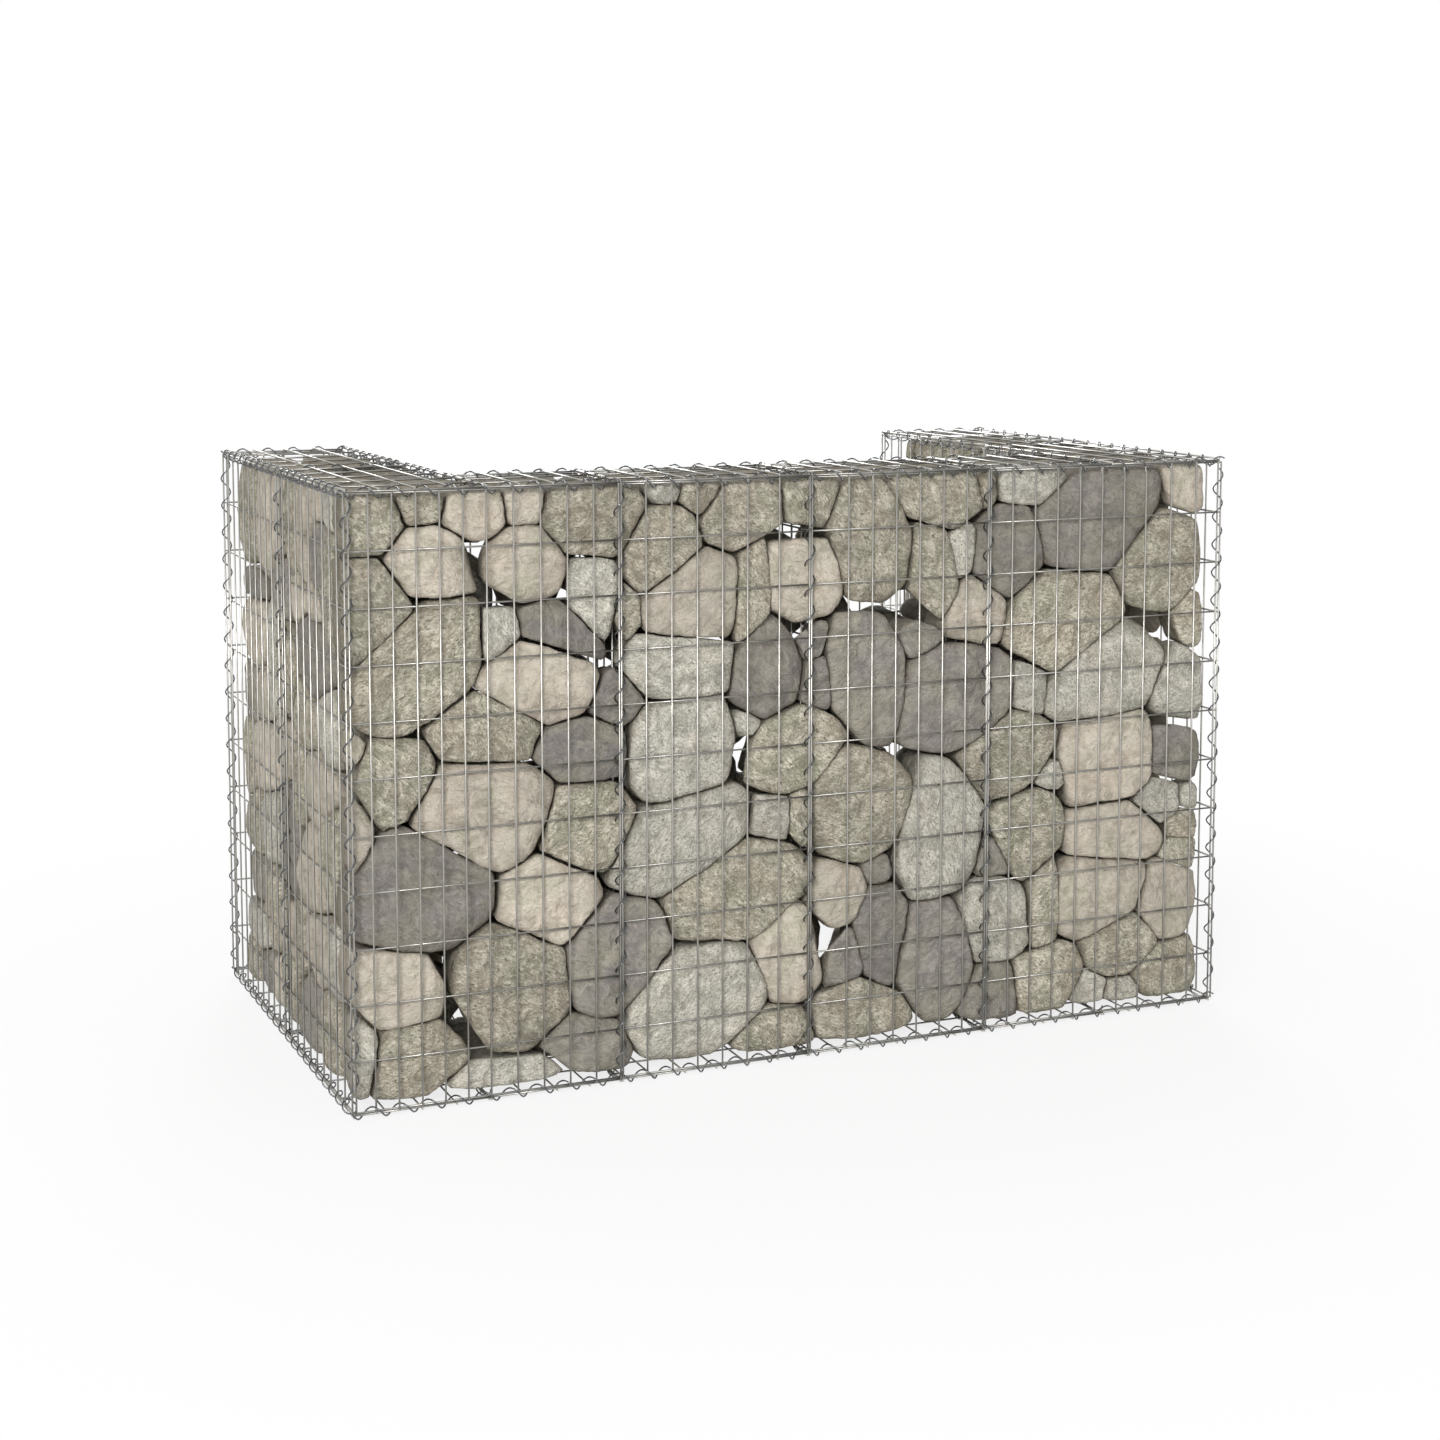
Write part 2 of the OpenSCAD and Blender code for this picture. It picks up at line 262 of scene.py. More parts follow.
def rock_pattern():
    """Cloudy patches, crossing streaks, specks and cracks, as every stone of the fill has them."""
    group, given, out = new_group(
        "rock_pattern",
        [("Place", "Vector", None), ("Stretch", "Float", 0.25), ("Grain", "Float", 130.0)],
        [*((mark, "Float") for mark in MARKS), ("Relief", "Float")])
    place, grain = given["Place"], given["Grain"]

    def texture(vector, scale, detail, roughness, distortion=0.0):
        return add(group, "TexNoise", {
            "Vector": vector, "Scale": scale, "Detail": detail, "Roughness": roughness,
            "Distortion": distortion}).outputs[0]

    def drawn(angle):
        """The place, drawn out along a direction that is turned by the angle."""
        turned = add(group, "Mapping", {"Vector": place, "Rotation": (0.2, 0.3, angle)}).outputs[0]
        squeeze = add(group, "CombineXYZ", {0: given["Stretch"], 1: 1.0, 2: 0.7}).outputs[0]
        return vector_maths(group, "MULTIPLY", turned, squeeze).outputs[0]

    clouds = texture(place, 14.0, 3.0, 0.55, 0.4)
    patches = texture(place, 34.0, 5.0, 0.6, 0.8)
    streaks = texture(drawn(0.0), grain, 5.0, 0.72, 0.3)
    strokes = texture(drawn(0.7), times(group, grain, 1.6), 4.0, 0.68, 0.2)
    specks = texture(place, 290.0, 3.0, 0.7)
    bends = texture(drawn(0.3), 17.0, 4.0, 0.55, 1.2)
    off_line = maths(group, "ABSOLUTE", maths(group, "SUBTRACT", bends, 0.5))
    cracks = spread(group, off_line, 0.0, 0.02, 1.0, 0.0)

    # Broken faces: each cell of the bent pattern slopes its own way
    wander = add(group, "TexNoise", {"Vector": place, "Scale": 20.0}).outputs["Color"]
    shift = vector_maths(group, "SCALE", wander, Scale=0.03).outputs[0]
    bent = vector_maths(group, "ADD", place, shift).outputs[0]
    cells = add(group, "TexVoronoi", {"Vector": bent, "Scale": FACET_SCALE})
    away = vector_maths(group, "SUBTRACT", bent, cells.outputs["Position"]).outputs[0]
    lean = vector_maths(group, "SUBTRACT", cells.outputs["Color"], (0.5, 0.5, 0.5)).outputs[0]
    slope = vector_maths(group, "DOT_PRODUCT", away, lean).outputs["Value"]
    facets = times(group, slope, FACET_SCALE)

    relief = times(group, streaks, 0.5)
    for part, share in ((patches, 1.1), (facets, 1.8), (cracks, -0.12), (strokes, 0.22), (specks, 0.22)):
        relief = maths(group, "ADD", relief, times(group, part, share))
    marks = (clouds, patches, streaks, strokes, specks, cracks)
    for label, value in (*zip(MARKS, marks), ("Relief", relief)):
        group.links.new(value, out[label])
    return group


# The colour of the painted shade and dirt at the stones' rims and deep behind the mesh
SHADE_AND_SOIL = linear(112, 103, 88)


def rock_colour():
    """The stone's colour: a base that clouds and patches shift, with streaks and specks, and painted shade
    and dirt towards its rim and deep behind the mesh.
    """
    group, given, out = new_group(
        "rock_colour",
        [*((shade, "Color", (0.5, 0.5, 0.5, 1)) for shade in SHADES),
         *((mark, "Float", 0.5) for mark in MARKS),
         *((f"{mark} Strength", "Float", 0.5) for mark in ("Streak", "Speck", "Crack")),
         ("Tone", "Float", 0.0), ("Shade And Soil", "Float", 0.0)],
        [("Colour", "Color")])
    drift = spread(group, given["Patches"], 0.40, 0.56, 0.25, 1.0)
    streak = times(group, given["Streak Strength"], drift)
    speck, crack = given["Speck Strength"], given["Crack Strength"]
    colour = given["Base"]
    for shade, marks, start, full, most in (
            ("Warm", "Clouds", 0.47, 0.66, 0.75), ("Cool", "Clouds", 0.50, 0.34, 0.7),
            ("Light", "Patches", 0.50, 0.66, 0.55), ("Dark", "Patches", 0.50, 0.35, 0.55),
            ("Light", "Streaks", 0.55, 0.64, streak), ("Dark", "Streaks", 0.44, 0.34, streak),
            ("Light", "Strokes", 0.55, 0.63, streak), ("Dark", "Strokes", 0.44, 0.36, streak),
            ("Dark", "Specks", 0.56, 0.66, speck), ("Light", "Specks", 0.44, 0.34, speck),
            ("Dark", "Cracks", 0.0, 1.0, crack)):
        share = times(group, spread(group, given[marks], start, full), most)
        colour = blended(group, share, colour, given[shade])
    level = maths(group, "ADD", given["Tone"], 1.0)
    toned = vector_maths(group, "SCALE", colour, Scale=level).outputs[0]
    # Painted shade and dirt: darkens the stone towards its rim and deep behind the mesh
    shaded_and_soiled = blended(group, given["Shade And Soil"], toned, SHADE_AND_SOIL)
    group.links.new(shaded_and_soiled, out["Colour"])
    return group


ROCK_PATTERN = rock_pattern()
ROCK_COLOUR = rock_colour()


def new_material(name):
    material = bpy.data.materials.new(name)
    material.use_nodes = True
    tree = material.node_tree
    tree.nodes.clear()
    shader = add(tree, "BsdfPrincipled")
    output = tree.nodes.new("ShaderNodeOutputMaterial")
    tree.links.new(shader.outputs[0], output.inputs[0])
    return material, tree, shader


def stone_material(name, shades, *, streak, speck, crack, stretch, grain, relief):
    """A kind of stone, with its relief in millimetres. Its pattern lies in each stone's own direction."""
    material, tree, shader = new_material(name)
    place = add(tree, "Attribute", attribute_name="grain_place").outputs["Vector"]
    tone = add(tree, "Attribute", attribute_name="stone_tone").outputs["Fac"]
    # Painted shade and dirt of each point, darker at the stone's rim and deep behind the mesh
    shade_and_soil = add(tree, "Attribute", attribute_name="stone_shade_and_soil").outputs["Fac"]
    layout = {"Place": place, "Stretch": stretch, "Grain": grain}
    pattern = add(tree, "Group", layout, node_tree=ROCK_PATTERN).outputs
    colour = add(tree, "Group", {
        **{key: linear(*shade) for key, shade in zip(SHADES, shades)},
        **{mark: pattern[mark] for mark in MARKS}, "Streak Strength": streak, "Speck Strength": speck,
        "Crack Strength": crack, "Tone": tone, "Shade And Soil": shade_and_soil}, node_tree=ROCK_COLOUR).outputs[0]
    tree.links.new(colour, shader.inputs["Base Color"])
    rough = spread(tree, pattern["Patches"], 0.3, 0.7, 0.78, 0.95)
    tree.links.new(rough, shader.inputs["Roughness"])
    bump = add(tree, "Bump", {"Height": pattern["Relief"], "Strength": 0.9, "Distance": relief * MM})
    tree.links.new(bump.outputs[0], shader.inputs["Normal"])
    shader.inputs["Specular IOR Level"].default_value = 0.3
    return material


STONE_KINDS = {
    "sandy": stone_material(
        "sandy_stone",
        [(191, 183, 169), (197, 184, 167), (181, 178, 156), (208, 200, 186), (142, 134, 119)],
        streak=0.45, speck=0.28, crack=0.1, stretch=0.34, grain=140.0, relief=10.0),
    "olive": stone_material(
        "olive_stone",
        [(171, 166, 149), (180, 167, 148), (157, 159, 134), (224, 217, 200), (112, 106, 90)],
        streak=1.0, speck=0.55, crack=0.05, stretch=0.3, grain=175.0, relief=14.0),
    "speckled": stone_material(
        "speckled_stone",
        [(190, 187, 175), (196, 188, 173), (180, 180, 168), (224, 220, 207), (122, 119, 106)],
        streak=0.88, speck=0.72, crack=0.0, stretch=0.34, grain=175.0, relief=12.0),
    "slate": stone_material(
        "slate_stone",
        [(139, 134, 126), (149, 145, 128), (133, 127, 127), (162, 157, 147), (104, 100, 94)],
        streak=0.6, speck=0.3, crack=0.12, stretch=0.28, grain=135.0, relief=9.0),
}
KIND_NAMES = SANDY, OLIVE, SPECKLED, SLATE = list(STONE_KINDS)


def wire_material(name, base, rough):
    """Galvanised wire: a pale zinc skin with faint spangle and duller patches, darker where a point's value
    says: dull zinc on the weld beads and painted shade on the level wires.
    """
    material, tree, shader = new_material(name)
    place = add(tree, "TexCoord").outputs["Object"]
    patches = add(tree, "TexNoise", {"Vector": place, "Scale": 38.0, "Detail": 3.0}).outputs[0]
    spangle = add(tree, "TexVoronoi", {"Vector": place, "Scale": 900.0}).outputs["Color"]
    grain = add(tree, "SeparateColor", {0: spangle}).outputs[0]
    darkened = tuple(c * 0.5 for c in base[:3]) + (1,)
    bright = tuple(min(1, c * 1.1) for c in base[:3]) + (1,)
    shine = spread(tree, patches, 0.35, 0.65, 0.5, 0.85)
    amount = maths(tree, "ADD", shine, times(tree, grain, 0.15))
    # Dull zinc on the weld beads, and painted shade on the level wires
    dull_and_shaded_share = add(tree, "Attribute", attribute_name="wire_dullness_and_shade").outputs["Fac"]
    amount = maths(tree, "SUBTRACT", amount, times(tree, dull_and_shaded_share, 0.55))
    tree.links.new(blended(tree, amount, darkened, bright), shader.inputs["Base Color"])
    tree.links.new(spread(tree, patches, 0.3, 0.7, rough + 0.12, rough - 0.06), shader.inputs["Roughness"])
    bump = add(tree, "Bump", {"Height": grain, "Strength": 0.35, "Distance": 0.15 * MM})
    tree.links.new(bump.outputs[0], shader.inputs["Normal"])
    shader.inputs["Metallic"].default_value = 1.0
    return material


MESH_ZINC = wire_material("galvanised_mesh", linear(184, 182, 176), 0.34)
SPIRAL_ZINC = wire_material("galvanised_spiral", linear(104, 106, 108), 0.2)

# ---- mesh panels ----


def even(start, end, cells):
    """Where equal cells divide a length, without its ends."""
    return [start + (end - start) * k / cells for k in range(1, cells)]


def near(start, end, pitch=CELL_W):
    """Equal cells, as near to the pitch as they come."""
    return even(start, end, max(1, round((end - start) / pitch)))


def widened(start, end, wide):
    """Regular cells from the start, and some wider ones that share the rest."""
    count = max(1, math.floor((end - start - wide * CELL_W) / CELL_W + 0.001))
    last = start + count * CELL_W
    return [start + k * CELL_W for k in range(1, count + 1)] + even(last, end, wide)


def flipped(places, start, end):
    return [start + end - p for p in reversed(places)]


ROWS = [TOP - k * CELL_H for k in range(round((TOP - FOOT) / CELL_H))] + [FOOT]
ACROSS = even(0, WALL, 6)       # the uprights of a panel that runs across a wall
BEAD_R = 2.2 * MM
BEAD_FLATNESS = 0.6             # a weld bead's half thickness, as a share of its radius


def weave(work, place, longs, crosses, long_at, cross_at):
    """A welded panel: wires along the second coordinate at each long, and along the first at each cross."""
    first, last = min(longs) - WIRE_R, max(longs) + WIRE_R
    lowest, highest = min(crosses) - WIRE_R, max(crosses) + WIRE_R
    for u in longs:
        work.rod(place(u, lowest, long_at), place(u, highest, long_at))
    for v in crosses:
        # the level wires get painted shade, darker than the uprights
        work.rod(place(first, v, cross_at), place(last, v, cross_at), darkened=1.0)
    radii = np.array(place(1, 1, BEAD_FLATNESS)) * BEAD_R
    for u in longs:
        for v in crosses:
            work.bead(place(u, v, (long_at + cross_at) / 2), radii)


def facing_front(u, v, n):
    return (u, n, v)


def facing_side(u, v, n):
    return (n, u, v)


def lying(u, v, n):
    return (u, v, n)


def upright_panel(name, place, plane, inward, between):
    """A standing panel at its node's place, with the given uprights between its end wires."""
    run = 0 if place is facing_front else 1
    first, last = low(name)[run] + WIRE_R, high(name)[run] - WIRE_R
    work = Wirework()
    weave(work, place, [first, *between, last], ROWS, plane, plane + inward * LAY)
    work.piece(name + "_wires", [name], MESH_ZINC, "mesh_wire")


corner_uprights = [LEFT + a for a in ACROSS]
FRONT_UPRIGHTS = {
    1: corner_uprights + [LEFT_INNER] + near(LEFT_INNER, JOINTS[0]),
    2: widened(JOINTS[0], JOINTS[1], 2),
    3: flipped(widened(JOINTS[1], JOINTS[2], 1), JOINTS[1], JOINTS[2]),
    4: widened(JOINTS[2], RIGHT, 3),
}
INNER_UPRIGHTS = {
    1: near(LEFT_INNER, JOINTS[0]),
    2: FRONT_UPRIGHTS[2],
    3: FRONT_UPRIGHTS[3],
    4: near(JOINTS[2], RIGHT_INNER),
}
for bay in (1, 2, 3, 4):
    upright_panel(f"front_mesh_{bay}", facing_front, FRONT, 1, FRONT_UPRIGHTS[bay])
    upright_panel(f"inner_front_mesh_{bay}", facing_front, INNER, -1, INNER_UPRIGHTS[bay])
for bay, start, end in ((1, FRONT, WING_JOINT), (2, WING_JOINT, BACK)):
    upright_panel(f"left_side_mesh_{bay}", facing_side, LEFT, 1, near(start, end))
    upright_panel(f"right_side_mesh_{bay}", facing_side, RIGHT, -1, near(start, end))
    start = max(start, INNER)
    upright_panel(f"left_inner_mesh_{bay}", facing_side, LEFT_INNER, -1, near(start, end))
    upright_panel(f"right_inner_mesh_{bay}", facing_side, RIGHT_INNER, 1, near(start, end))
for name, start, plane, inward in (
        ("left_end_mesh", LEFT, BACK, -1), ("right_end_mesh", RIGHT_INNER, BACK, -1),
        ("left_wing_divider", LEFT, WING_JOINT, 1), ("right_wing_divider", RIGHT_INNER, WING_JOINT, 1)):
    upright_panel(name, facing_front, plane, inward, [start + a for a in ACROSS])
for n, joint in enumerate(JOINTS, 1):
    upright_panel(f"front_divider_{n}", facing_side, joint, 1, [FRONT + a for a in ACROSS])

LID_RISE = high("lid_mesh_1").z - WIRE_R - TOP
CORNER_ACROSS = [LAY, *near(0, WALL, LID_CELL_W), WALL - LAY]
WING_ALONG = {
    1: [FRONT + LAY, *near(FRONT, WING_JOINT, CELL_H), WING_JOINT - SIDE],
    2: [WING_JOINT + SIDE, *near(WING_JOINT, BACK, CELL_H), BACK - LAY],
}
FRONT_ALONG = [FRONT + LAY, *near(FRONT, INNER, CELL_H), INNER - LAY]


def flat_panels(bay):
    """The panels of one bay's lid or base: bays 1 and 6 are the wings, 2 and 5 the corners."""
    wing = LEFT if bay < 3 else RIGHT_INNER
    if bay in (1, 6):
        return [([wing + a for a in CORNER_ACROSS], WING_ALONG[2])]
    if bay in (3, 4):
        start, end = JOINTS[bay - 3], JOINTS[bay - 2]
        return [([start + SIDE, *near(start, end, LID_CELL_W), end - SIDE], FRONT_ALONG)]
    corner = ([wing + a for a in CORNER_ACROSS], WING_ALONG[1])
    beside = 2 * SIDE - LAY
    if bay == 2:
        start, end = LEFT_INNER, JOINTS[0]
        return [corner, ([start + beside, *near(start, end, LID_CELL_W), end - SIDE], FRONT_ALONG)]
    start, end = JOINTS[2], RIGHT_INNER
    return [corner, ([start + SIDE, *near(start, end, LID_CELL_W), end - beside], FRONT_ALONG)]


for bay in range(1, 7):
    for kind, level, inward in (("lid_mesh", TOP + LID_RISE, -1), ("base_mesh", FOOT - LID_RISE, 1)):
        name = f"{kind}_{bay}"
        work = Wirework()
        for longs, crosses in flat_panels(bay):
            weave(work, lying, longs, crosses, level, level + inward * LAY)
        work.piece(name + "_wires", [name], MESH_ZINC, "mesh_wire")

# ---- lacing spirals ----

UPRIGHT_TURN = 57.5 * MM
EDGE_TURN = 50 * MM
SEAT = 4.6 * MM                 # from a panel's plane to the axis of an upright spiral
CLEAR = 2 * MM
OUTER = SPIRAL_R + SPIRAL_WIRE_R
UPRIGHT_LOW = low("corner_spirals").z
UPRIGHT_LENGTH = high("corner_spirals").z - UPRIGHT_LOW

corners, joints = Wirework(), Wirework()
for mirror, edge in ((1, LEFT), (-1, RIGHT)):
    for across, back in ((TUCK / 2, FRONT + SEAT), (TUCK / 2, BACK - SEAT), (WALL - TUCK / 2, BACK - SEAT),
                         (WALL + SEAT - LAY, INNER + SEAT - LAY)):
        corners.spiral((edge + mirror * across, back, UPRIGHT_LOW), Z, UPRIGHT_LENGTH, UPRIGHT_TURN)
    for across in (SEAT, WALL - SEAT):
        joints.spiral((edge + mirror * across, WING_JOINT, UPRIGHT_LOW), Z, UPRIGHT_LENGTH, UPRIGHT_TURN)
for joint in JOINTS:
    for back in (FRONT + SEAT, INNER - SEAT):
        joints.spiral((joint, back, UPRIGHT_LOW), Z, UPRIGHT_LENGTH, UPRIGHT_TURN)
corners.piece("corner_lacing", ["corner_spirals"], SPIRAL_ZINC, "spiral_wire")
joints.piece("joint_lacing", ["joint_spirals"], SPIRAL_ZINC, "spiral_wire")


def edge_lacing(level):
    """The spirals round the lids or the bases, with their axes at one height."""
    work = Wirework()
    past = OUTER + CLEAR
    inner, back = WALL - LAY, BACK - LAY
    ends = [LEFT, *JOINTS, RIGHT]

    def along_x(start, end, y):
        start, end = min(start, end), max(start, end)
        work.spiral((start, y, level), X, end - start, EDGE_TURN)

    def along_y(start, end, x):
        work.spiral((x, start, level), Y, end - start, EDGE_TURN)

    for bay in range(4):
        start = LEFT + LAY - OUTER if bay == 0 else ends[bay] + CLEAR / 2
        end = RIGHT - LAY + OUTER if bay == 3 else ends[bay + 1] - CLEAR / 2
        along_x(start, end, FRONT + LAY)
        start = LEFT + inner if bay == 0 else ends[bay]
        end = RIGHT - inner if bay == 3 else ends[bay + 1]
        along_x(start + past, end - past, FRONT + inner)
    for joint in JOINTS:
        along_y(FRONT + LAY + past, FRONT + inner - past, joint)
    for mirror, edge in ((1, LEFT), (-1, RIGHT)):
        outside, inside = edge + mirror * LAY, edge + mirror * inner
        along_y(FRONT + LAY + past, WING_JOINT - CLEAR / 2, outside)
        along_y(WING_JOINT + CLEAR / 2, back - past, outside)
        along_y(FRONT + LAY + past, FRONT + inner - past, inside)
        along_y(FRONT + inner + past, WING_JOINT - past, inside)
        along_y(WING_JOINT + past, back - past, inside)
        along_x(outside + mirror * past, inside - mirror * past, WING_JOINT)
        along_x(outside - mirror * OUTER, inside + mirror * OUTER, back)
    return work


edge_lacing(high("lid_spirals").z - OUTER).piece("lid_lacing", ["lid_spirals"], SPIRAL_ZINC, "spiral_wire")
edge_lacing(low("base_spirals").z + OUTER).piece("base_lacing", ["base_spirals"], SPIRAL_ZINC, "spiral_wire")

# ---- stones ----

STONE_IN = 6.5 * MM             # from a panel's plane to the stones' faces
STONE_FOOT = 7 * MM             # from the lowest row to the stones' undersides
STONE_TOP = TOP + LID_RISE - LAY - 3 * MM    # just under the lids' lower wires
JOINT_GAP = 2.4 * MM            # the widest joint between stones; many run into each other instead

# Each face of stones: its corner, the way it runs, and the way it looks
FACES = {
    "front": ((LEFT, FRONT), X, -Y),
    "inner_front": ((LEFT, INNER), X, Y),
    "left": ((LEFT, FRONT), Y, -X),
    "left_inner": ((LEFT_INNER, FRONT), Y, X),
    "right": ((RIGHT, FRONT), Y, X),
    "right_inner": ((RIGHT_INNER, FRONT), Y, -X),
}

# The front's stones: middle along the wall and up it, width, height, tilt in degrees, and kind.
# Millimetres from the mesh's lower left corner.
FRONT_STONES = [
    (56, 1030, 105, 112, 0, OLIVE), (146, 1060, 76, 62, 0, OLIVE), (240, 1045, 118, 92, 0, SANDY),
    (332, 1055, 72, 68, 0, SANDY), (464, 1026, 204, 138, -8, OLIVE), (158, 956, 186, 150, -8, SANDY),
    (333, 949, 148, 150, 0, SANDY), (456, 889, 98, 150, 0, SPECKLED), (528, 855, 45, 86, 0, OLIVE),
    (592, 975, 140, 165, -32, OLIVE), (62, 893, 146, 190, 18, OLIVE), (130, 792, 336, 222, 46, OLIVE),
    (288, 846, 76, 112, -10, SPECKLED), (404, 832, 206, 96, -24, SLATE), (364, 744, 244, 150, -10, SANDY),
    (505, 700, 92, 88, 0, SLATE), (443, 608, 172, 114, -4, SLATE), (262, 660, 194, 120, -14, OLIVE),
    (84, 588, 128, 152, 0, OLIVE), (20, 645, 32, 56, 0, SANDY), (25, 490, 42, 112, 0, SANDY),
    (262, 506, 256, 200, 0, SANDY), (443, 465, 172, 166, 10, OLIVE), (142, 376, 262, 216, -8, SLATE),
    (378, 342, 196, 168, -6, SANDY), (302, 184, 232, 240, -14, OLIVE), (97, 207, 176, 134, 0, SANDY),
    (122, 78, 182, 126, 0, OLIVE), (30, 90, 52, 128, 0, SPECKLED), (288, 38, 194, 48, 0, SPECKLED),
    (500, 225, 190, 225, -24, SLATE), (444, 66, 154, 98, -6, SLATE), (668, 120, 296, 206, 8, SPECKLED),
    (634, 428, 312, 158, 26, SPECKLED), (620, 752, 230, 124, -4, SPECKLED),
    (634, 598, 214, 186, 6, SPECKLED), (654, 878, 190, 162, 16, SANDY), (773, 886, 66, 168, -6, OLIVE),
    (882, 905, 158, 170, -12, SANDY), (812, 733, 150, 188, -6, SLATE), (896, 782, 58, 66, 0, SLATE),
    (905, 700, 60, 90, 0, SLATE), (1007, 708, 165, 272, 12, SLATE), (1012, 964, 172, 246, 8, OLIVE),
    (886, 1042, 106, 106, 0, OLIVE), (756, 1027, 168, 120, 8, OLIVE), (664, 1066, 74, 62, 0, OLIVE),
    (602, 1072, 62, 46, 0, SPECKLED), (1166, 1038, 174, 110, -6, OLIVE), (1158, 898, 98, 188, 6, OLIVE),
    (1213, 935, 54, 92, 0, SPECKLED), (1245, 818, 142, 128, 0, SANDY), (1128, 772, 76, 54, 10, SLATE),
    (1212, 655, 250, 218, 0, SLATE), (1320, 926, 150, 184, -20, SLATE), (1355, 1057, 142, 72, 0, SPECKLED),
    (1273, 1054, 40, 62, 0, OLIVE), (1514, 993, 306, 190, 14, SLATE), (1717, 1046, 94, 92, 0, SANDY),
    (1664, 894, 168, 190, -24, OLIVE), (1435, 791, 252, 186, 0, OLIVE), (1556, 690, 318, 172, 24, SPECKLED),
    (1367, 658, 78, 90, 0, SPECKLED), (1729, 775, 62, 92, 0, OLIVE), (1710, 640, 104, 168, 18, SPECKLED),
    (1320, 533, 214, 164, 18, OLIVE), (1539, 506, 216, 178, 0, SANDY), (1704, 508, 112, 108, 0, SLATE),
    (1414, 484, 54, 46, 0, SPECKLED), (1356, 370, 172, 172, 10, OLIVE), (1571, 358, 232, 116, -6, SANDY),
    (1668, 413, 98, 82, 10, SPECKLED), (1738, 414, 46, 44, 0, SPECKLED), (1722, 357, 74, 60, 10, OLIVE),
    (1717, 304, 74, 62, -30, OLIVE), (1175, 397, 162, 278, -8, SPECKLED),
    (1291, 206, 158, 174, -14, SPECKLED), (1291, 328, 56, 66, 0, SLATE), (1401, 223, 68, 160, 2, OLIVE),
    (1533, 229, 210, 166, 8, SANDY), (1684, 207, 124, 172, -16, SANDY), (1587, 125, 178, 130, 14, OLIVE),
    (1415, 79, 174, 128, 0, OLIVE), (1289, 70, 116, 104, 0, SLATE), (1514, 46, 72, 58, 0, SPECKLED),
    (1583, 37, 68, 44, 0, SPECKLED), (1686, 68, 142, 108, 0, OLIVE), (824, 50, 142, 80, 0, OLIVE),
    (993, 68, 204, 108, 0, OLIVE), (860, 184, 160, 178, -18, SANDY), (748, 320, 268, 168, 18, OLIVE),
    (812, 455, 84, 80, 0, SPECKLED), (870, 448, 46, 96, 0, OLIVE), (994, 464, 204, 218, 0, OLIVE),
    (855, 580, 226, 150, 22, OLIVE), (966, 172, 82, 108, 0, SLATE), (1040, 206, 126, 200, 6, SLATE),
    (1165, 146, 184, 240, 0, SLATE), (951, 288, 116, 128, 12, SANDY), (1033, 330, 50, 52, 0, SLATE),
    (765, 630, 46, 44, 0, SPECKLED),
]

# The left side's stones in the same way, along the wall from the front mesh
LEFT_STONES = [
    (815, 985, 172, 196, 0, OLIVE), (683, 985, 132, 190, 0, SANDY), (553, 1012, 126, 160, 0, SANDY),
    (533, 863, 166, 112, 6, SLATE), (448, 1000, 100, 168, 0, OLIVE), (360, 985, 102, 192, 0, SANDY),
    (258, 958, 122, 126, 0, SLATE), (258, 1056, 118, 72, 0, SANDY), (172, 910, 88, 200, 0, OLIVE),
    (168, 1050, 86, 78, 0, SPECKLED), (787, 846, 158, 64, 0, SLATE), (780, 748, 226, 150, 0, SANDY),
    (634, 716, 96, 200, 0, SPECKLED), (528, 708, 146, 186, 0, OLIVE), (302, 768, 312, 150, 6, SLATE),
    (394, 860, 108, 88, 0, SANDY), (294, 868, 84, 70, 0, SANDY), (364, 640, 206, 116, 6, OLIVE),
    (214, 655, 132, 122, 0, SPECKLED), (820, 612, 146, 112, 0, SLATE), (724, 626, 98, 112, 0, SANDY),
    (714, 508, 222, 152, 6, SANDY), (846, 480, 96, 146, 0, OLIVE), (532, 552, 152, 118, 0, SANDY),
    (524, 374, 146, 226, 0, SLATE), (274, 528, 236, 132, 4, SANDY), (424, 508, 88, 150, 0, OLIVE),
    (194, 408, 126, 176, 0, OLIVE), (808, 348, 166, 126, 0, OLIVE), (674, 370, 128, 152, 0, SPECKLED),
    (354, 350, 206, 156, 0, SANDY), (664, 208, 156, 186, 0, OLIVE), (804, 240, 148, 112, 0, SLATE),
    (524, 204, 146, 108, 0, SANDY), (294, 218, 216, 132, 0, SANDY), (428, 208, 88, 150, 0, OLIVE),
    (168, 230, 96, 112, 0, SPECKLED), (794, 142, 168, 92, 0, SPECKLED), (842, 60, 118, 76, 0, OLIVE),
    (726, 62, 122, 78, 0, SLATE), (636, 70, 92, 92, 0, SANDY), (532, 92, 148, 122, 0, OLIVE),
    (374, 86, 192, 122, 0, SLATE), (222, 90, 148, 128, 0, OLIVE),
]

# Places on the front where a gap runs through the whole wall: along it, up it, and width
SEE_THROUGH = [
    (231, 985, 26), (270, 890, 14), (395, 896, 16), (478, 774, 12), (845, 992, 28), (969, 846, 18),
    (1075, 865, 20), (857, 806, 14), (745, 608, 16), (1060, 563, 13), (914, 213, 32), (155, 264, 18),
    (193, 158, 16), (1599, 785, 18), (1660, 580, 18),
]


LEAST_CUT = 0.15                # how near a cut may come to a stone's middle, as a share of its half size


class Stone:
    """A stone, as an ellipsoid that its neighbours cut flat."""

    def __init__(self, face, centre, axes, half, out, kind):
        self.face, self.kind = face, kind
        self.centre, self.axes, self.half, self.out = np.array(centre), axes, np.array(half), np.array(out)
        self.planes = []                # pairs of a normal and its distance from the centre
        scaled = axes / self.half[:, None]
        self.shape = scaled.T @ scaled

    def cut(self, normal, distance):
        least = LEAST_CUT * self.half.min()
        self.planes.append((np.array(normal), max(distance, least)))

    def extent(self, way):
        return 1 / math.sqrt(way @ self.shape @ way)


